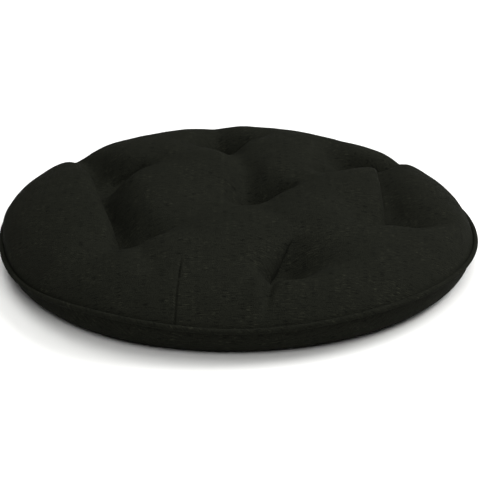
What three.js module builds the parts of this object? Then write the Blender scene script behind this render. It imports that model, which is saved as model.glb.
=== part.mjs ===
// Round seat cushion of a hanging chair. Two round panels of woven cloth are sewn together at the rim,
// with piping in the seam, and the filling is tied through at seven places, so that puffs and folds form.
// Millimetres, +Z up. The cushion lies on its back, and the origin is the middle of the face it lies on.

import * as THREE from 'three';

// Driving dimensions.
const SEAM_RADIUS = 342; // middle of the cushion to the rim seam
const SEAM_HEIGHT = 40; // rim seam above the surface, on the mean
const CROWN_RISE = 69; // full crown of the top panel above the seam, before the ties pull it in
const PIPING_RADIUS = 3.5;
const PIECE_GAP = 0.35; // between the piping and the cover at the seam

// Half sections of the two panels. Heights are from the seam.
const TOP = {
  middleHeight: 0.72 * CROWN_RISE,
  shoulderHeight: CROWN_RISE, // the roll along the rim is higher than the middle
  levelRadius: 0, // dead level up to here
  levelShare: 0.7, // share of the way from there to the side that stays nearly level
};
const BOTTOM = {
  middleHeight: -SEAM_HEIGHT,
  shoulderHeight: -SEAM_HEIGHT,
  levelRadius: 0.9 * SEAM_RADIUS, // the cushion lies on this part
  levelShare: 0.6,
};

// The roll along the rim, where a panel turns into the seam.
const UPRIGHT_ROLL = {
  rollShare: 0.64, // how squarely the roll turns down
  sideRadius: SEAM_RADIUS - 4, // where the roll ends, and the turn into the seam begins
  sideHeight: 9,
  sideRun: 0, // how far inwards the roll leans there
};
const SLOPING_ROLL = { rollShare: 0.5, sideRadius: SEAM_RADIUS - 1, sideHeight: 2, sideRun: 24 };
const BOTTOM_ROLL = { rollShare: 0.6, sideRadius: SEAM_RADIUS + 1, sideHeight: -10, sideRun: 0 };

// Ties: the places where a hidden thread draws both panels together. Height is that of a pit's bottom
// above the surface, and reach is how far from the tie the pit spreads.
const TOP_PIT = { height: 24, reach: 16, sharpness: 1.2 };
const BOTTOM_PIT = { height: 18, reach: 34, sharpness: 1.5 };
const LYING_FLAT = 0.06; // a pull weaker than this leaves the underside on the surface
const LEVELLING = 0.05; // a lower place of the underside lies on the surface itself
const TIES = {
  middle: new THREE.Vector3(16, 4, 0),
  leftBack: new THREE.Vector3(-190, 84, 0),
  back: new THREE.Vector3(-28, 214, 0),
  rightBack: new THREE.Vector3(182, 130, 0),
  rightFront: new THREE.Vector3(236, -82, 0),
  front: new THREE.Vector3(66, -216, 0),
  leftFront: new THREE.Vector3(-148, -140, 0),
};

// Where a fold turns, or runs out without reaching a tie.
const ENDS = {
  leftBackCorner: new THREE.Vector3(-222, 118, 0),
  leftBackRim: new THREE.Vector3(-276, 228, 0),
  rightOfLeftBack: new THREE.Vector3(-130, 116, 0),
  leftOfBack: new THREE.Vector3(-72, 200, 0),
  rightOfBack: new THREE.Vector3(38, 242, 0),
  backRim: new THREE.Vector3(-42, 330, 0),
  behindMiddle: new THREE.Vector3(6, 128, 0),
  rightOfMiddle: new THREE.Vector3(84, 44, 0),
  leftOfRightBack: new THREE.Vector3(136, 106, 0),
  behindRightBack: new THREE.Vector3(146, 228, 0),
  rightBackRim: new THREE.Vector3(290, 185, 0),
  rightBackCorner: new THREE.Vector3(226, 122, 0),
  rightCorner: new THREE.Vector3(220, -92, 0),
  rightRim: new THREE.Vector3(312, -76, 0),
  kneeTop: new THREE.Vector3(148, -12, 0),
  kneeEnd: new THREE.Vector3(176, -104, 0),
  frontTop: new THREE.Vector3(82, -166, 0),
  frontLow: new THREE.Vector3(48, -240, 0),
  frontMiddle: new THREE.Vector3(70, -234, 0),
  frontRim: new THREE.Vector3(38, -326, 0),
  frontRight: new THREE.Vector3(152, -222, 0),
  rightOfLeftFront: new THREE.Vector3(-92, -116, 0),
  leftFrontRim: new THREE.Vector3(-225, -262, 0),
};

// Folds of the top panel: depth is the share of the height that the fold takes away at each end. Left and
// right are the widths over which the cloth falls into it on either side, looking along it to its end.
const FOLDS = [
  { from: ENDS.leftBackCorner, to: TIES.leftFront, depthFrom: 0.8, depthTo: 0.85, left: 30, right: 12 },
  { from: ENDS.leftBackCorner, to: ENDS.leftBackRim, depthFrom: 0.75, depthTo: 0.12, left: 15, right: 34 },
  { from: TIES.leftBack, to: ENDS.rightOfLeftBack, depthFrom: 0.85, depthTo: 0.2, left: 22, right: 13 },
  { from: TIES.back, to: ENDS.leftOfBack, depthFrom: 0.55, depthTo: 0.08, left: 18, right: 26 },
  { from: TIES.back, to: ENDS.rightOfBack, depthFrom: 0.8, depthTo: 0.15, left: 28, right: 15 },
  { from: TIES.back, to: ENDS.backRim, depthFrom: 0.45, depthTo: 0.08, left: 26, right: 26 },
  { from: TIES.middle, to: ENDS.behindMiddle, depthFrom: 0.9, depthTo: 0.12, left: 14, right: 30 },
  { from: ENDS.behindMiddle, to: TIES.back, depthFrom: 0.12, depthTo: 0.5, left: 16, right: 24 },
  { from: TIES.middle, to: ENDS.rightOfMiddle, depthFrom: 0.85, depthTo: 0.1, left: 32, right: 19 },
  { from: ENDS.rightOfMiddle, to: ENDS.leftOfRightBack, depthFrom: 0.08, depthTo: 0.14, left: 40, right: 40 },
  { from: TIES.rightBack, to: ENDS.leftOfRightBack, depthFrom: 0.6, depthTo: 0.3, left: 18, right: 28 },
  { from: ENDS.leftOfRightBack, to: ENDS.behindRightBack, depthFrom: 0.4, depthTo: 0.25, left: 14, right: 26 },
  { from: TIES.rightBack, to: ENDS.rightBackRim, depthFrom: 0.8, depthTo: 0.2, left: 22, right: 14 },
  { from: ENDS.rightBackCorner, to: ENDS.rightCorner, depthFrom: 0.5, depthTo: 0.9, left: 34, right: 12 },
  { from: ENDS.rightCorner, to: ENDS.rightRim, depthFrom: 0.75, depthTo: 0, left: 40, right: 15 },
  { from: ENDS.kneeTop, to: ENDS.kneeEnd, depthFrom: 0.06, depthTo: 0.25, left: 40, right: 16 },
  { from: ENDS.kneeEnd, to: TIES.rightFront, depthFrom: 0.25, depthTo: 0.5, left: 32, right: 16 },
  { from: ENDS.frontTop, to: ENDS.frontLow, depthFrom: 0.2, depthTo: 0.9, left: 36, right: 9 },
  { from: ENDS.frontLow, to: ENDS.frontMiddle, depthFrom: 0.75, depthTo: 0.7, left: 20, right: 14 },
  { from: ENDS.frontMiddle, to: ENDS.frontRight, depthFrom: 0.7, depthTo: 0.1, left: 34, right: 14 },
  { from: ENDS.frontLow, to: ENDS.frontRim, depthFrom: 0.4, depthTo: 0, left: 10, right: 10 },
  { from: ENDS.frontTop, to: TIES.middle, depthFrom: 0.08, depthTo: 0.12, left: 40, right: 30 },
  { from: TIES.leftFront, to: ENDS.rightOfLeftFront, depthFrom: 0.7, depthTo: 0.15, left: 36, right: 18 },
  { from: ENDS.rightOfLeftFront, to: TIES.middle, depthFrom: 0.1, depthTo: 0.14, left: 50, right: 40 },
  { from: TIES.leftFront, to: ENDS.leftFrontRim, depthFrom: 0.35, depthTo: 0, left: 24, right: 24 },
];
const FOLD_SHARPNESS = 2;
const CROWDING = { share: 0.75, reach: 18 }; // how the mesh's points gather towards a fold

// The rim is as uneven as a filled cushion's: seam radius and height, the share of the full crown that
// the roll reaches there, how far the roll bulges over the seam, and how far it goes from upright, 0, to
// sloping, 1. Steps are even, from +X towards +Y.
const RIM = [
  { direction: 0, seamRadius: 341, seamHeight: 36, crown: 1, bulge: 3, slope: 0.2 },
  { direction: 30, seamRadius: 331, seamHeight: 36, crown: 1.05, bulge: 5, slope: 0 },
  { direction: 60, seamRadius: 332, seamHeight: 36, crown: 1.04, bulge: 2, slope: 0 },
  { direction: 90, seamRadius: 341, seamHeight: 42, crown: 1.06, bulge: 0, slope: 0 },
  { direction: 120, seamRadius: 338, seamHeight: 42, crown: 1.06, bulge: 0, slope: 0 },
  { direction: 150, seamRadius: 337, seamHeight: 41, crown: 1.08, bulge: 4, slope: 0 },
  { direction: 180, seamRadius: 340, seamHeight: 40, crown: 1.02, bulge: 10, slope: 0 },
  { direction: 210, seamRadius: 342, seamHeight: 33, crown: 1.01, bulge: 4, slope: 0.6 },
  { direction: 240, seamRadius: 345, seamHeight: 48, crown: 1, bulge: 0, slope: 1 },
  { direction: 270, seamRadius: 339, seamHeight: 43, crown: 1, bulge: 0, slope: 1 },
  { direction: 300, seamRadius: 343, seamHeight: 48, crown: 1, bulge: 0, slope: 1 },
  { direction: 330, seamRadius: 346, seamHeight: 44, crown: 0.99, bulge: 0, slope: 0.7 },
];
const BULGE = { sharpness: 6, fullHeight: 10 }; // fades inwards, and is full this far above the seam

// Fineness of the meshes: ring k of a panel has six points more than ring k - 1.
const RINGS = 30;
const RING_STEP = 6;
const RIM_POINTS = RINGS * RING_STEP;
const PIPING_SIDES = 8;

const CLOTH = { color: 0x22231e, roughness: 0.95, metalness: 0 };
const PIPING_CLOTH = { color: 0x262722, roughness: 0.92, metalness: 0 };

const evenLoop = (points) => new THREE.CatmullRomCurve3(points, true, 'catmullrom', 0.5);
const seamLoop = evenLoop(RIM.map((row) => new THREE.Vector3(row.seamRadius, row.seamHeight, 0)));
const rollLoop = evenLoop(RIM.map((row) => new THREE.Vector3(row.crown, row.bulge, row.slope)));

// The rim in a direction, as a share of one full turn.
function rimAt(turn) {
  const seam = seamLoop.getPoint(turn % 1);
  const roll = rollLoop.getPoint(turn % 1);
  return { seamRadius: seam.x, seamHeight: seam.y, crown: roll.x, bulge: roll.y, slope: roll.z };
}

// Half a section from the middle out to the seam: radius and height from the seam.
function section({ middleHeight, shoulderHeight, levelRadius, levelShare }, roll) {
  const { rollShare, sideRadius, sideHeight, sideRun } = roll;
  const curves = new THREE.CurvePath();
  const levelEnd = new THREE.Vector2(levelRadius, middleHeight);
  const side = new THREE.Vector2(sideRadius, sideHeight);
  const reach = levelRadius + levelShare * (sideRadius - levelRadius);
  if (levelRadius > 0) curves.add(new THREE.LineCurve(new THREE.Vector2(0, middleHeight), levelEnd));
  curves.add(
    new THREE.CubicBezierCurve(
      levelEnd,
      new THREE.Vector2(reach, shoulderHeight),
      new THREE.Vector2(sideRadius - sideRun, THREE.MathUtils.lerp(sideHeight, shoulderHeight, rollShare)),
      side,
    ),
  );
  curves.add(
    new THREE.QuadraticBezierCurve(
      side,
      new THREE.Vector2(sideRadius, sideHeight / 3),
      new THREE.Vector2(SEAM_RADIUS, 0),
    ),
  );
  return curves.getSpacedPoints(RINGS);
}

const topUpright = section(TOP, UPRIGHT_ROLL);
const topSloping = section(TOP, SLOPING_ROLL);
const bottomSection = section(BOTTOM, BOTTOM_ROLL);

// Where a place lies beside a fold: the share of the way along it, and the step from the fold to it.
function besideFold(fold, place) {
  const line = new THREE.Line3(fold.from, fold.to);
  const along = line.closestPointToPointParameter(place, true);
  return { along, step: place.clone().sub(line.at(along, new THREE.Vector3())) };
}

// The share of its height that the cloth loses at a place, from the ties and folds around it.
function pullAt(place, pit, folds) {
  let kept = 1;
  for (const tie of Object.values(TIES)) {
    kept *= 1 - Math.exp(-((place.distanceTo(tie) / pit.reach) ** pit.sharpness));
  }
  for (const fold of folds) {
    const { along, step } = besideFold(fold, place);
    const ahead = fold.to.clone().sub(fold.from).normalize();
    const leftward = ahead.clone().cross(step).z;
    const sideways = leftward / (leftward > 0 ? fold.left : fold.right);
    const lengthways = ahead.dot(step) / Math.min(fold.left, fold.right); // only past the fold's ends
    const away = Math.hypot(sideways, lengthways);
    const depth = THREE.MathUtils.lerp(fold.depthFrom, fold.depthTo, along);
    kept *= 1 - depth * Math.exp(-(away ** FOLD_SHARPNESS));
  }
  return 1 - kept;
}

// The mesh's points near a fold move closer to it, so that it stays straight and sharp.
function crowded(place, share) {
  const moved = place.clone();
  for (const fold of FOLDS) {
    const { step } = besideFold(fold, moved);
    const crowding = share * CROWDING.share * Math.exp(-((step.length() / CROWDING.reach) ** 2));
    moved.addScaledVector(step, -crowding);
  }
  return moved;
}

function placeOf(radius, turn, height = 0) {
  const angle = turn * 2 * Math.PI;
  return new THREE.Vector3(radius * Math.cos(angle), radius * Math.sin(angle), height);
}

function topPoint(ring, turn) {
  const rim = rimAt(turn);
  const { x: radius, y: rise } = topUpright[ring].clone().lerp(topSloping[ring], rim.slope);
  const outward = radius / SEAM_RADIUS;
  const bulge = rim.bulge * Math.min(1, rise / BULGE.fullHeight) * outward ** BULGE.sharpness;
  const unevenness = outward ** 2; // it fades towards the middle
  const place = crowded(placeOf(outward * rim.seamRadius + bulge, turn), 1 - unevenness ** 2);
  const seamHeight = THREE.MathUtils.lerp(SEAM_HEIGHT, rim.seamHeight, unevenness);
  const height = seamHeight + rise * THREE.MathUtils.lerp(1, rim.crown, unevenness);
  const pull = pullAt(place, TOP_PIT, FOLDS);
  place.z = height - pull * Math.max(0, height - Math.max(TOP_PIT.height, seamHeight));
  return place;
}

function bottomPoint(ring, turn) {
  const rim = rimAt(turn);
  const { x: radius, y: drop } = bottomSection[ring];
  const place = placeOf((radius / SEAM_RADIUS) * rim.seamRadius, turn);
  const height = rim.seamHeight * (1 + drop / SEAM_HEIGHT);
  const lift = Math.max(0, (pullAt(place, BOTTOM_PIT, []) - LYING_FLAT) / (1 - LYING_FLAT));
  const lifted = height + lift * Math.max(0, BOTTOM_PIT.height - height);
  place.z = lifted < LEVELLING ? 0 : lifted;
  return place;
}

// The triangles of a round panel, as [ring, step] corners, from the middle out to the rim.
function panelTriangles() {
  const triangles = [];
  for (let ring = 1; ring <= RINGS; ring++) {
    for (let sector = 0; sector < RING_STEP; sector++) {
      for (let i = 0; i < ring; i++) {
        const outer = sector * ring + i;
        const inner = sector * (ring - 1) + i;
        triangles.push([[ring, outer], [ring, outer + 1], [ring - 1, inner]]);
        if (i < ring - 1) {
          triangles.push([[ring, outer + 1], [ring - 1, inner + 1], [ring - 1, inner]]);
        }
      }
    }
  }
  return triangles;
}

function makeCushion() {
  const turnOf = ([ring, step]) => (ring === 0 ? 0 : (step / (ring * RING_STEP)) % 1);
  const corners = [];
  for (const [a, b, c] of panelTriangles()) {
    for (const corner of [a, b, c]) corners.push(topPoint(corner[0], turnOf(corner)));
    for (const corner of [c, b, a]) corners.push(bottomPoint(corner[0], turnOf(corner)));
  }
  const geometry = new THREE.BufferGeometry().setFromPoints(corners);
  geometry.computeVertexNormals();
  const cushion = new THREE.Mesh(geometry, new THREE.MeshStandardMaterial(CLOTH));
  cushion.name = 'cushion';
  return cushion;
}

// The middle line of the piping, just outside the seam. Its steps are even in direction, so that the
// corners of the piping stand against the corners of the cover.
class PipingLine extends THREE.Curve {
  getPoint(turn, target = new THREE.Vector3()) {
    const rim = rimAt(turn);
    return target.copy(placeOf(rim.seamRadius + PIPING_RADIUS + PIECE_GAP, turn, rim.seamHeight));
  }

  getPointAt(turn, target) {
    return this.getPoint(turn, target);
  }

  getTangentAt(turn, target) {
    return this.getTangent(turn, target);
  }
}

function makePiping() {
  const geometry = new THREE.TubeGeometry(new PipingLine(), RIM_POINTS, PIPING_RADIUS, PIPING_SIDES, true);
  const piping = new THREE.Mesh(geometry, new THREE.MeshStandardMaterial(PIPING_CLOTH));
  piping.name = 'piping';
  return piping;
}

// The uneven rim is centred on the origin.
const cushionAndPiping = new THREE.Group();
cushionAndPiping.add(makeCushion(), makePiping());
const middle = new THREE.Box3().setFromObject(cushionAndPiping, true).getCenter(new THREE.Vector3());
cushionAndPiping.position.set(-middle.x, -middle.y, 0);

const part = new THREE.Group();
part.add(cushionAndPiping);

export default part;
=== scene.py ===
# A round, tufted seat cushion for a hanging chair, as it lies on its back on a pale floor in soft studio
# light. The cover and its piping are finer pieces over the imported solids. Metres, +Z up.

import math

import bmesh
import bpy
import numpy as np
from mathutils import Matrix, Vector, noise


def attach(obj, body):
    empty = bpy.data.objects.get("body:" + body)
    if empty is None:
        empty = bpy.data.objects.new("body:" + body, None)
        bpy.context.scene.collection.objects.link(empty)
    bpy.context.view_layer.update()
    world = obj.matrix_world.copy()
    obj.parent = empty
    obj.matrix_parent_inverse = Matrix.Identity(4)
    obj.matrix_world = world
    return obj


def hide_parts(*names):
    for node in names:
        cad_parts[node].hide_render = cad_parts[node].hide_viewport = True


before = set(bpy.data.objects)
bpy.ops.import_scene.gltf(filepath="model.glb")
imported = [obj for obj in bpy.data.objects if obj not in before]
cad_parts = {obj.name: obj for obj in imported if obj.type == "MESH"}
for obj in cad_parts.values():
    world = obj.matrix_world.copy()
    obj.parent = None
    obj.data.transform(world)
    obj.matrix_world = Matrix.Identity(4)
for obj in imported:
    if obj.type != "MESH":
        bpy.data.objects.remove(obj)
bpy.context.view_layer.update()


# The camera looks at the front of the cushion from somewhat above, as in the photograph. Its angles, lens
# and target in plan were fitted to the cushion's outline there. Its distance was chosen, and held in the fit.
MM = 0.001
CAMERA_ELEVATION = math.radians(24.63)
CAMERA_ROLL = math.radians(-0.39)
CAMERA_DISTANCE = 1.7
CAMERA_TARGET = Vector((3.1, -68.5, 40)) * MM
FOCAL_LENGTH_MM = 89.14
SENSOR_WIDTH_MM = 36

camera = bpy.data.objects.new("camera", bpy.data.cameras.new("camera"))
bpy.context.scene.collection.objects.link(camera)
camera.data.sensor_width = SENSOR_WIDTH_MM
camera.data.lens = FOCAL_LENGTH_MM
camera.matrix_world = (
    Matrix.Translation(CAMERA_TARGET)
    @ Matrix.Rotation(math.pi / 2 - CAMERA_ELEVATION, 4, "X")
    @ Matrix.Rotation(CAMERA_ROLL, 4, "Z")
    @ Matrix.Translation((0, 0, CAMERA_DISTANCE))
)
bpy.context.scene.camera = camera


# The studio: a plain near-white floor under a large soft lamp overhead, another on the right and a weaker
# one in front. Only the floor and faint white surroundings light the left side.
FLOOR_SIZE = 60
FLOOR_HEX = "ececea"
LAMP_DISTANCE = 6
LAMPS = [  # azimuth counts from the right, towards the back; both angles in degrees
    {"name": "overhead", "azimuth": 0, "elevation": 90, "size": 5, "watts": 290},
    {"name": "right", "azimuth": 20, "elevation": 41, "size": 3.4, "watts": 380},
    {"name": "front", "azimuth": -90, "elevation": 48, "size": 3, "watts": 160},
]
SURROUNDINGS_STRENGTH = 0.03


def linear(srgb_hex):
    """An sRGB hex colour as linear RGBA."""
    shares = [int(srgb_hex[i : i + 2], 16) / 255 for i in (0, 2, 4)]
    return [s / 12.92 if s <= 0.04045 else ((s + 0.055) / 1.055) ** 2.4 for s in shares] + [1]


def add(tree, kind, settings=None, inputs=None):
    """Adds a node. Settings are its properties; inputs are values, or the sockets that feed them."""
    node = tree.nodes.new(kind)
    for name, value in (settings or {}).items():
        setattr(node, name, value)
    for name, value in (inputs or {}).items():
        if isinstance(value, bpy.types.NodeSocket):
            tree.links.new(value, node.inputs[name])
        else:
            node.inputs[name].default_value = value
    return node


def empty_material(name):
    material = bpy.data.materials.new(name)
    material.use_nodes = True
    material.node_tree.nodes.clear()
    return material


def place_in_scene(name, shape):
    """Makes an object of a bmesh, which is used up."""
    piece = bpy.data.objects.new(name, bpy.data.meshes.new(name))
    shape.to_mesh(piece.data)
    shape.free()
    bpy.context.scene.collection.objects.link(piece)
    return piece


# Matt paper sweep: pale and without gloss, so the cushion casts only a soft shade on it.
paper = empty_material("matt_paper")
paper_shader = add(
    paper.node_tree,
    "ShaderNodeBsdfPrincipled",
    inputs={"Base Color": linear(FLOOR_HEX), "Roughness": 1.0, "Specular IOR Level": 0.0},
)
add(paper.node_tree, "ShaderNodeOutputMaterial", inputs={"Surface": paper_shader.outputs["BSDF"]})

floor_shape = bmesh.new()
bmesh.ops.create_grid(floor_shape, x_segments=1, y_segments=1, size=FLOOR_SIZE / 2)
floor = place_in_scene("floor", floor_shape)
floor.data.materials.append(paper)

for row in LAMPS:
    azimuth, elevation = math.radians(row["azimuth"]), math.radians(row["elevation"])
    level = math.cos(elevation)
    towards = Vector((level * math.cos(azimuth), level * math.sin(azimuth), math.sin(elevation)))
    name = row["name"] + "_lamp"
    lamp = bpy.data.objects.new(name, bpy.data.lights.new(name, "AREA"))
    lamp.data.size = row["size"]
    lamp.data.energy = row["watts"]
    lamp.location = towards * LAMP_DISTANCE
    lamp.rotation_euler = towards.to_track_quat("Z", "Y").to_euler()
    bpy.context.scene.collection.objects.link(lamp)

surroundings = bpy.data.worlds.new("surroundings")
surroundings.use_nodes = True
background = surroundings.node_tree.nodes["Background"]
background.inputs["Color"].default_value = (1, 1, 1, 1)
background.inputs["Strength"].default_value = SURROUNDINGS_STRENGTH
bpy.context.scene.world = surroundings
bpy.context.scene.view_settings.view_transform = "Standard"


# The cover: two round panels of cloth, sewn together at the rim, filled with fibre and drawn together at
# seven ties. The filling's pressure rounds the puffs, which lean over the deepest folds. A stitched dart
# takes up the slack in the front of the top panel.
MERGE_DISTANCE = 0.01 * MM
VOXEL = 7 * MM
SMOOTHING_ROUNDS = 4
TIES = [  # over each other in both faces, millimetres from the middle
    {"tie": "middle", "x": 16, "y": 4},
    {"tie": "left back", "x": -190, "y": 84},
    {"tie": "back", "x": -28, "y": 214},
    {"tie": "right back", "x": 182, "y": 130},
    {"tie": "right front", "x": 236, "y": -82},
    {"tie": "front", "x": 66, "y": -216},
    {"tie": "left front", "x": -148, "y": -140},
]
TIE_HOLD = 9 * MM
SEAM_HOLD = 9 * MM
FLOOR_HOLD = 2 * MM
FILLING_PRESSURE = 4
SETTLING_FRAMES = 20
MOST_MOVEMENT = 16 * MM  # a safeguard, as the cloth settles by less than 5 mm


def smooth(mesh, rounds):
    shape = bmesh.new()
    shape.from_mesh(mesh)
    for _ in range(rounds):
        bmesh.ops.smooth_vert(
            shape, verts=shape.verts, factor=0.5, use_axis_x=True, use_axis_y=True, use_axis_z=True
        )
    shape.to_mesh(mesh)
    shape.free()


def values_of(members, name, width, kind=float):
    """One attribute of all vertices, edges, faces or corners of a mesh, as a row for each."""
    values = np.zeros(len(members) * width, kind)
    members.foreach_get(name, values)
    return values.reshape(-1, width)


def points_of(mesh):
    return values_of(mesh.vertices, "co", 3)


def set_points(mesh, points):
    mesh.vertices.foreach_set("co", points.ravel())
    mesh.update()


def polar(points):
    """Direction and distance of each point from the middle, in plan."""
    return np.arctan2(points[:, 1], points[:, 0]), np.hypot(points[:, 0], points[:, 1])


def wrapped(angles):
    """The same angles, between minus and plus half a turn."""
    return (angles + math.pi) % (2 * math.pi) - math.pi


def applied(piece):
    """Applies every modifier of a piece to its mesh."""
    evaluated = piece.evaluated_get(bpy.context.evaluated_depsgraph_get())
    mesh = bpy.data.meshes.new_from_object(evaluated)
    piece.modifiers.clear()
    piece.data = mesh


# The rim line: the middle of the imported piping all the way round, as radius and height by direction.
PIPING_RADIUS = 3.5 * MM
RIM_STEPS = 360
RIM_REACH = math.radians(2.4)  # a step takes in the piping this far to either side
SEWN_OVERLAP = 0.25 * MM  # the stitches press the cord this far into the edge of the cover

solid_piping = points_of(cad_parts["piping"].data)
piping_turns, piping_radii = polar(solid_piping)
rim_turns = np.linspace(-math.pi, math.pi, RIM_STEPS, endpoint=False)
rim_radii, rim_heights = [], []
for turn in rim_turns:
    near = np.abs(wrapped(piping_turns - turn)) < RIM_REACH
    rim_radii.append((piping_radii[near].max() + piping_radii[near].min()) / 2)
    rim_heights.append((solid_piping[near, 2].max() + solid_piping[near, 2].min()) / 2)


def rim_at(turns):
    """Radius and height of the piping's middle in these directions."""
    return (
        np.interp(turns, rim_turns, rim_radii, period=2 * math.pi),
        np.interp(turns, rim_turns, rim_heights, period=2 * math.pi),
    )


def seam_offsets(points):
    """Steps outwards and upwards from each point to the seam, which runs along the inside of the piping."""
    turns, point_radii = polar(points)
    radii, heights = rim_at(turns)
    return radii - PIPING_RADIUS + SEWN_OVERLAP - point_radii, heights - points[:, 2]


solid = bmesh.new()
solid.from_mesh(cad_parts["cushion"].data)
bmesh.ops.remove_doubles(solid, verts=solid.verts, dist=MERGE_DISTANCE)
cover = place_in_scene("cushion_cover", solid)
remesh = cover.modifiers.new("remesh", "REMESH")
remesh.mode = "VOXEL"
remesh.voxel_size = VOXEL
applied(cover)
smooth(cover.data, SMOOTHING_ROUNDS)

start = points_of(cover.data)
from_tie = np.min(
    [np.hypot(start[:, 0] - row["x"] * MM, start[:, 1] - row["y"] * MM) for row in TIES], axis=0
)
from_seam = np.hypot(*seam_offsets(start))
held = (from_tie < TIE_HOLD) | (from_seam < SEAM_HOLD) | (start[:, 2] < FLOOR_HOLD)
sewn = cover.vertex_groups.new(name="sewn")
sewn.add([int(i) for i in np.nonzero(held)[0]], 1.0, "REPLACE")
cloth = cover.modifiers.new("cloth", "CLOTH")
cloth.settings.quality = 6
cloth.settings.mass = 0.3
cloth.settings.tension_stiffness = 15
cloth.settings.compression_stiffness = 15
cloth.settings.shear_stiffness = 5
cloth.settings.bending_stiffness = 5
cloth.settings.use_pressure = True
cloth.settings.uniform_pressure_force = FILLING_PRESSURE
cloth.settings.vertex_group_mass = "sewn"
cloth.settings.effector_weights.gravity = 0
cloth.collision_settings.use_collision = False
cloth.collision_settings.use_self_collision = False
cloth.point_cache.frame_start = 1
cloth.point_cache.frame_end = SETTLING_FRAMES
for step in range(1, SETTLING_FRAMES + 1):
    bpy.context.scene.frame_set(step)
applied(cover)
moved = points_of(cover.data) - start
far = np.linalg.norm(moved, axis=1)[:, None]
settled = start + moved * np.minimum(1, MOST_MOVEMENT / np.maximum(far, 1e-9))
settled[:, 2] = np.maximum(settled[:, 2], 0)
set_points(cover.data, settled)

finer = cover.modifiers.new("finer", "SUBSURF")
finer.levels = finer.render_levels = 1
applied(cover)

# Puffs that lean over a fold: looking along the fold to its end, the puff on the right bulges over it and
# the fold's floor draws in under the puff. All in millimetres.
LEANING_PUFFS = [  # right and left are the widths of the fold's two sides
    {"from": (-222, 118), "to": (-148, -140), "right": 12, "left": 26, "lean": 8, "under": 12},
    {"from": (226, 122), "to": (220, -92), "right": 12, "left": 30, "lean": 13, "under": 17},
    {"from": (82, -166), "to": (48, -240), "right": 9, "left": 36, "lean": 7, "under": 10},
    {"from": (88, 22), "to": (10, 16), "right": 12, "left": 26, "lean": 12, "under": 11},
    {"from": (238, 152), "to": (170, 140), "right": 12, "left": 22, "lean": 11, "under": 9},
    {"from": (20, 236), "to": (-46, 226), "right": 12, "left": 22, "lean": 6, "under": 6},
    {"from": (-140, 112), "to": (-196, 100), "right": 12, "left": 22, "lean": 6, "under": 6},
]
LEAN_REACH = 34
LEAN_FADE = 30  # over this length at each end of a fold
FOLD_SHARPNESS = 1.6
TOP_MARGIN = 6 * MM  # the top panel's relief begins this far below the rim line


def beside(points, start, end):
    """How far points lie along a line in plan and to its right, with its length and direction, in mm."""
    start, end = np.array(start, float), np.array(end, float)
    length = np.linalg.norm(end - start)
    ahead = (end - start) / length
    steps = points[:, :2] / MM - start
    return steps @ ahead, steps @ np.array([ahead[1], -ahead[0]]), length, ahead


def fading(along, length, fade):
    """1 along a line, half at its ends and 0 past them, over the length of fade."""
    inside = np.minimum(along, length - along)
    share = np.clip(inside / fade + 0.5, 0, 1)
    return share * share * (3 - 2 * share)


points = points_of(cover.data)
turns, _ = polar(points)
top_side = points[:, 2] > rim_at(turns)[1] - TOP_MARGIN
for row in LEANING_PUFFS:
    along, aside, length, ahead = beside(points, row["from"], row["to"])
    width = np.where(aside > 0, row["right"], row["left"])
    fallen = np.exp(-((np.abs(aside) / width) ** FOLD_SHARPNESS))
    lean = np.where(aside > 0, (1 - fallen) * np.exp(-((aside / LEAN_REACH) ** 2)), 0)
    share = fading(along, length, LEAN_FADE) * top_side
    shift = (row["under"] * fallen - row["lean"] * lean) * share * MM
    points[:, 0] += shift * ahead[1]
    points[:, 1] -= shift * ahead[0]

# Creases and soft ridges in the cloth, as places in plan with a depth, which is negative for a ridge, and a
# width, all in millimetres. The last six set the folds deeper beside the ties.
CREASES = [
    {"from": (46, -246), "to": (34, -318), "depth": 6, "width": 5.5},
    {"from": (28, -270), "to": (20, -318), "depth": -3, "width": 9},
    {"from": (2, -284), "to": (30, -290), "depth": 1.2, "width": 4},
    {"from": (-78, 232), "to": (-76, 150), "depth": 1.5, "width": 9},
    {"from": (-34, 262), "to": (-34, 224), "depth": 2.5, "width": 8},
    {"from": (4, 252), "to": (-8, 218), "depth": 2, "width": 6},
    {"from": (-206, -205), "to": (-232, -262), "depth": 1.5, "width": 12},
    {"from": (-12, -232), "to": (40, -262), "depth": 2.5, "width": 22},
    {"from": (-216, 22), "to": (-250, 10), "depth": 1.2, "width": 7},
    {"from": (-120, 40), "to": (-60, 20), "depth": 1, "width": 14},
    {"from": (-206, 40), "to": (-160, -112), "depth": 8, "width": 15},
    {"from": (14, 22), "to": (80, 26), "depth": 15, "width": 15},
    {"from": (172, 150), "to": (250, 150), "depth": 17, "width": 16},
    {"from": (-138, -165), "to": (-104, -264), "depth": 5, "width": 18},
    {"from": (-44, 238), "to": (18, 246), "depth": 6, "width": 13},
    {"from": (-200, 110), "to": (-146, 120), "depth": 6, "width": 12},
]
for row in CREASES:
    along, aside, length, _ = beside(points, row["from"], row["to"])
    share = fading(along, length, length / 2) * np.exp(-((aside / row["width"]) ** 2)) * top_side
    points[:, 2] -= row["depth"] * share * MM

# The filling is a little lumpy under the cloth.
LUMPS = [{"across": 70 * MM, "height": 1.6 * MM}, {"across": 28 * MM, "height": 0.5 * MM}]
for row in LUMPS:
    lumps = np.array([noise.noise(Vector(point) / row["across"]) for point in points])
    points[:, 2] += lumps * row["height"] * top_side

# The seam draws the edge of both panels into a sharp line beside the piping: in each sector of the rim the
# cover's nearest point goes right to the seam, and those around it follow.
SEAM_SECTORS = 180
SEAM_DRAW = 9 * MM
SEWN_IN = 4.5 * MM


def drawn_in(points, turns, outwards, upwards, share):
    """Moves points by their share of these steps."""
    points[:, 0] += outwards * share * np.cos(turns)
    points[:, 1] += outwards * share * np.sin(turns)
    points[:, 2] += upwards * share


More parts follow.
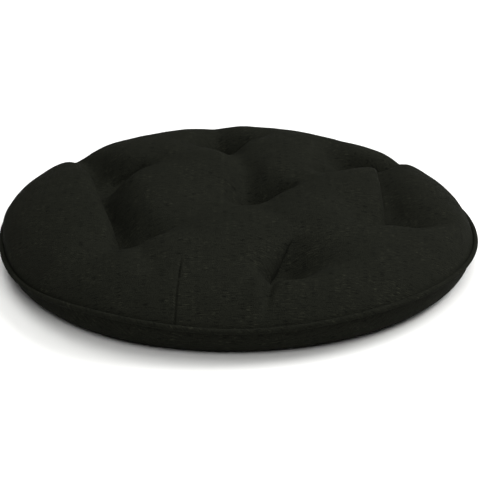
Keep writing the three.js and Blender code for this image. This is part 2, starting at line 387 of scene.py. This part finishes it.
outwards, upwards = seam_offsets(points)
turns, _ = polar(points)
sectors = ((turns + math.pi) / (2 * math.pi) * SEAM_SECTORS).astype(int) % SEAM_SECTORS
from_seam = np.hypot(outwards, upwards)
groups = [np.nonzero(sectors == sector)[0] for sector in range(SEAM_SECTORS)]
nearest = np.array([group[np.argmin(from_seam[group])] for group in groups])
nearest = nearest[np.argsort(turns[nearest])]
pull_out = np.interp(turns, turns[nearest], outwards[nearest], period=2 * math.pi)
pull_up = np.interp(turns, turns[nearest], upwards[nearest], period=2 * math.pi)
drawn = np.exp(-((np.hypot(outwards - pull_out, upwards - pull_up) / SEAM_DRAW) ** 2))
drawn_in(points, turns, pull_out, pull_up, drawn)
outwards, upwards = seam_offsets(points)
sewn_in = np.exp(-((np.hypot(outwards, upwards) / SEWN_IN) ** 2))
drawn_in(points, turns, outwards, upwards, sewn_in)
points[:, 2] = np.maximum(points[:, 2], 0)
set_points(cover.data, points)

# The dart: a stitched fold line from the front seam up over the roll. The cloth dips along the stitches,
# and its left edge, as the camera sees it, stands a little proud.
DART_BACK = (-73, -236)
DART_FRONT = (-78.5, -338)
DART_HALF_WIDTH = 1.3
DART_CUTS = (-2.5, -1, 0, 1)  # lines along which the mesh is cut, in half widths
DART_MARGIN = 12  # how far around the dart the mesh is cut, in millimetres
DART_BELOW_SEAM = 4 * MM
DART_STARTS = -4
DART_DEEPENS_OVER = 14
DART_DEPTH = 3.4 * MM
DART_EDGE = 0.9 * MM
FACING_DOWN = -0.2

shape = bmesh.new()
shape.from_mesh(cover.data)
dart_start = Vector((*DART_BACK, 0)) * MM
dart_ahead = (Vector((*DART_FRONT, 0)) * MM - dart_start).normalized()
dart_right = dart_ahead.cross(Vector((0, 0, 1)))
seam_height = float(rim_at(math.atan2(DART_FRONT[1], DART_FRONT[0]))[1])


def near_dart(face):
    middle = face.calc_center_median()
    step = middle - dart_start
    on_top = face.normal.z > FACING_DOWN and middle.z > seam_height - DART_BELOW_SEAM
    beside_dart = abs(step.dot(dart_right)) < DART_MARGIN * MM
    return on_top and beside_dart and step.dot(dart_ahead) > -DART_MARGIN * MM


for half_widths in DART_CUTS:
    faces = [face for face in shape.faces if near_dart(face)]
    edges = {edge for face in faces for edge in face.edges}
    corners = {vert for face in faces for vert in face.verts}
    bmesh.ops.bisect_plane(
        shape,
        geom=faces + list(edges) + list(corners),
        dist=0.0001 * MM,
        plane_co=dart_start + dart_right * (half_widths * DART_HALF_WIDTH) * MM,
        plane_no=dart_right,
    )
shape.normal_update()
for vert in shape.verts:
    step = vert.co - dart_start
    aside, ahead = step.dot(dart_right) / MM, step.dot(dart_ahead) / MM
    outside = abs(aside) > 5 * DART_HALF_WIDTH or ahead < -DART_MARGIN
    if outside or vert.co.z < seam_height or vert.normal.z < FACING_DOWN:
        continue
    growing = min(1, max(0, (ahead - DART_STARTS) / DART_DEEPENS_OVER))
    groove = math.exp(-((aside / (0.7 * DART_HALF_WIDTH)) ** 2))
    edge = math.exp(-(((aside - 2 * DART_HALF_WIDTH) / DART_HALF_WIDTH) ** 2))
    vert.co += vert.normal * growing * (DART_EDGE * edge - DART_DEPTH * groove)
shape.to_mesh(cover.data)
shape.free()
cover.data.polygons.foreach_set("use_smooth", [True] * len(cover.data.polygons))

# A flat map of each panel, as it was cut, in metres: distance from the middle along the cloth in each
# direction, then eased until the yarns are about as long on the map as on the puffs and in the folds.
CROWN_HEIGHT = 95 * MM
ROLL_START = 240 * MM
ROLL_BLEND = 40 * MM
ROLL_STRETCH = 0.7
EASING_ROUNDS = 80


def eased(flat, points, edges):
    """Moves the flat places until the edges between them are about as long as in space."""
    first, second = edges.T
    real = np.linalg.norm(points[first] - points[second], axis=1)
    ends = np.concatenate([first, second])
    count = np.maximum(np.bincount(ends, minlength=len(flat)), 1)
    for _ in range(EASING_ROUNDS):
        step = flat[second] - flat[first]
        length = np.maximum(np.linalg.norm(step, axis=1), 1e-9)
        push = step * (0.5 * (1 - real / length))[:, None]
        pushes = np.concatenate([push, -push])
        for axis in (0, 1):
            flat[:, axis] += np.bincount(ends, pushes[:, axis], len(flat)) / count
    return flat


def map_panels(mesh):
    """Gives the mesh its cloth map. The bottom panel's is mirrored, as its cloth faces down."""
    points = points_of(mesh)
    turns, radii = polar(points)
    rolled = np.clip((radii - ROLL_START) / ROLL_BLEND, 0, 1)
    corners = values_of(mesh.loops, "vertex_index", 1, int).ravel()
    sizes = values_of(mesh.polygons, "loop_total", 1, int).ravel()
    edges = values_of(mesh.edges, "vertices", 2, int)
    middles = values_of(mesh.polygons, "center", 3)
    middle_turns, _ = polar(middles)
    face_on_top = middles[:, 2] > rim_at(middle_turns)[1]
    on_top = np.repeat(face_on_top, sizes)
    cloth = np.zeros((len(corners), 2))
    for panel, drop in ((on_top, CROWN_HEIGHT - points[:, 2]), (~on_top, points[:, 2])):
        lengths = radii + ROLL_STRETCH * rolled * np.maximum(drop, 0)
        flat = np.stack([lengths * np.cos(turns), lengths * np.sin(turns)], 1)
        inside = np.isin(np.arange(len(points)), corners[panel])
        flat = eased(flat, points, edges[inside[edges].all(axis=1)])
        cloth[panel] = flat[corners[panel]]
    cloth[~on_top, 0] *= -1
    mesh.uv_layers.new(name="cloth").data.foreach_set("uv", cloth.ravel())


map_panels(cover.data)

# Plain-woven polyester, spun uneven and dyed near black: matt, with a fine grain and short slubs along the
# yarns, most of them in the weft. Yarns and slubs are too fine to show, so they are drawn twice as coarse.
CLOTH_HEX = "181914"
SLUB_PALE_HEX = "23241d"
SLUB_DARK_HEX = "0b0c09"
CLOTH_ROUGHNESS = 0.95
CLOTH_SPECULAR = 0.03
YARN_PITCH_MM = 1.2
DRAWN_COARSER = 2
STREAKS = {  # drawn size in mm along weft and warp, and the noise value where one begins and is full
    "pale weft": {"size": (9, 1.6), "begins": 0.68, "full": 0.82},
    "dark weft": {"size": (11.7, 1.6), "begins": 0.36, "full": 0.24},
    "pale warp": {"size": (1.6, 6), "begins": 0.70, "full": 0.84},
    "patches": {"size": (45, 45), "begins": 0.35, "full": 0.65},
    "grain": {"size": (1.6, 1.6), "begins": 0.25, "full": 0.75},
}
GROUND_SHARE = 0.55  # of the ground colour where the grain is darkest
GRAIN_SHARE = 0.6
DARK_WEFT_SHARE = 0.85
PALE_WARP_SHARE = 0.3
YARN_RELIEF = 0.5  # against the relief of slubs and grain
RELIEF_STRENGTH = 0.6
RELIEF_DEPTH = 0.3 * MM


def woven_cloth(name, ground_hex, pale_hex, dark_hex, turned=0):
    """A woven material on the piece's own UV map. Turned is the angle of the yarns on it, in degrees."""
    material = empty_material(name)
    tree = material.node_tree
    flat = add(
        tree,
        "ShaderNodeMapping",
        inputs={
            "Vector": add(tree, "ShaderNodeUVMap", settings={"uv_map": "cloth"}).outputs["UV"],
            "Rotation": (0, 0, math.radians(turned)),
            "Scale": (1 / MM, 1 / MM, 1),
        },
    ).outputs["Vector"]

    def streaks(kind):
        """0 between streaks of this kind and 1 on them."""
        along_weft, along_warp = STREAKS[kind]["size"]
        stretched = add(
            tree, "ShaderNodeMapping", inputs={"Vector": flat, "Scale": (1 / along_weft, 1 / along_warp, 1)}
        )
        spots = add(
            tree,
            "ShaderNodeTexNoise",
            settings={"noise_dimensions": "2D"},
            inputs={"Vector": stretched.outputs["Vector"], "Scale": 1.0, "Detail": 0.0},
        )
        begins, full = STREAKS[kind]["begins"], STREAKS[kind]["full"]
        return add(
            tree,
            "ShaderNodeMapRange",
            settings={"interpolation_type": "SMOOTHSTEP"},
            inputs={"Value": spots.outputs["Fac"], "From Min": begins, "From Max": full},
        ).outputs["Result"]

    def mixed(first, second, share):
        return add(
            tree, "ShaderNodeMix", settings={"data_type": "RGBA"}, inputs={0: share, 6: first, 7: second}
        ).outputs[2]

    def maths(operation, *values):
        return add(
            tree, "ShaderNodeMath", settings={"operation": operation}, inputs=dict(enumerate(values))
        ).outputs["Value"]

    pale_weft = streaks("pale weft")
    grain = streaks("grain")
    ground_share = maths("ADD", GROUND_SHARE, maths("MULTIPLY", grain, GRAIN_SHARE))
    colour = mixed(linear(dark_hex), linear(ground_hex), ground_share)
    colour = mixed(colour, linear(dark_hex), maths("MULTIPLY", streaks("dark weft"), DARK_WEFT_SHARE))
    colour = mixed(colour, linear(pale_hex), maths("MULTIPLY", streaks("pale warp"), PALE_WARP_SHARE))
    colour = mixed(colour, linear(pale_hex), maths("MULTIPLY", pale_weft, streaks("patches")))

    parted = add(tree, "ShaderNodeSeparateXYZ", inputs={"Vector": flat})
    turn_per_mm = 2 * math.pi / (YARN_PITCH_MM * DRAWN_COARSER)
    waves = [maths("SINE", maths("MULTIPLY", parted.outputs[axis], turn_per_mm)) for axis in ("X", "Y")]
    yarns = maths("MULTIPLY", maths("MULTIPLY", *waves), YARN_RELIEF)
    height = maths("ADD", yarns, maths("ADD", pale_weft, grain))
    bump = add(
        tree,
        "ShaderNodeBump",
        inputs={"Height": height, "Strength": RELIEF_STRENGTH, "Distance": RELIEF_DEPTH},
    )
    shader = add(
        tree,
        "ShaderNodeBsdfPrincipled",
        inputs={
            "Base Color": colour,
            "Roughness": CLOTH_ROUGHNESS,
            "Specular IOR Level": CLOTH_SPECULAR,
            "Normal": bump.outputs["Normal"],
        },
    )
    add(tree, "ShaderNodeOutputMaterial", inputs={"Surface": shader.outputs["BSDF"]})
    return material


cover.data.materials.append(woven_cloth("black_slub_weave", CLOTH_HEX, SLUB_PALE_HEX, SLUB_DARK_HEX))
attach(cover, "root")
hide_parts("cushion")


# The piping: a bias strip of the same cloth wrapped round a cord and sewn into the rim seam, so its yarns
# cross the rim at 45 degrees. It stands a cord's thickness proud of the cover all the way round.
PIPING_SIDES = 12
PIPING_STEPS = 720
SPUN_RADIUS = 1  # the ring is spun this wide, then brought to the rim line

ring = bmesh.new()
bmesh.ops.create_circle(
    ring,
    segments=PIPING_SIDES,
    radius=PIPING_RADIUS,
    matrix=Matrix.Translation((SPUN_RADIUS, 0, 0)) @ Matrix.Rotation(math.pi / 2, 4, "X"),
)
bmesh.ops.spin(
    ring,
    geom=ring.verts[:] + ring.edges[:],
    cent=(0, 0, 0),
    axis=(0, 0, 1),
    angle=2 * math.pi,
    steps=PIPING_STEPS,
    use_merge=True,
)
bmesh.ops.recalc_face_normals(ring, faces=ring.faces)
piping = place_in_scene("rim_piping", ring)
points = points_of(piping.data)
turns, spun_radii = polar(points)
radii, heights = rim_at(turns)
out_of_middle = spun_radii - SPUN_RADIUS
around = np.arctan2(points[:, 2], out_of_middle)
points[:, 2] += heights
points[:, 0] = (radii + out_of_middle) * np.cos(turns)
points[:, 1] = (radii + out_of_middle) * np.sin(turns)
set_points(piping.data, points)
piping.data.polygons.foreach_set("use_smooth", [True] * len(piping.data.polygons))

# The strip's own map: along the rim and round the cord, in metres.
strip = piping.data.uv_layers.new(name="cloth")
for face in piping.data.polygons:
    first = face.vertices[0]
    for loop in face.loop_indices:
        corner = piping.data.loops[loop].vertex_index
        turn = turns[first] + wrapped(turns[corner] - turns[first])
        side = around[first] + wrapped(around[corner] - around[first])
        strip.data[loop].uv = (turn * radii[first], side * PIPING_RADIUS)

# The cover's polyester, cut on the bias: as matt, with its slubs aslant across the cord.
STRIP_HEX = "171813"
STRIP_PALE_HEX = "24251e"
BIAS_ANGLE = 45
bias_strip = woven_cloth("black_bias_strip", STRIP_HEX, STRIP_PALE_HEX, SLUB_DARK_HEX, turned=BIAS_ANGLE)
piping.data.materials.append(bias_strip)
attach(piping, "root")
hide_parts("piping")
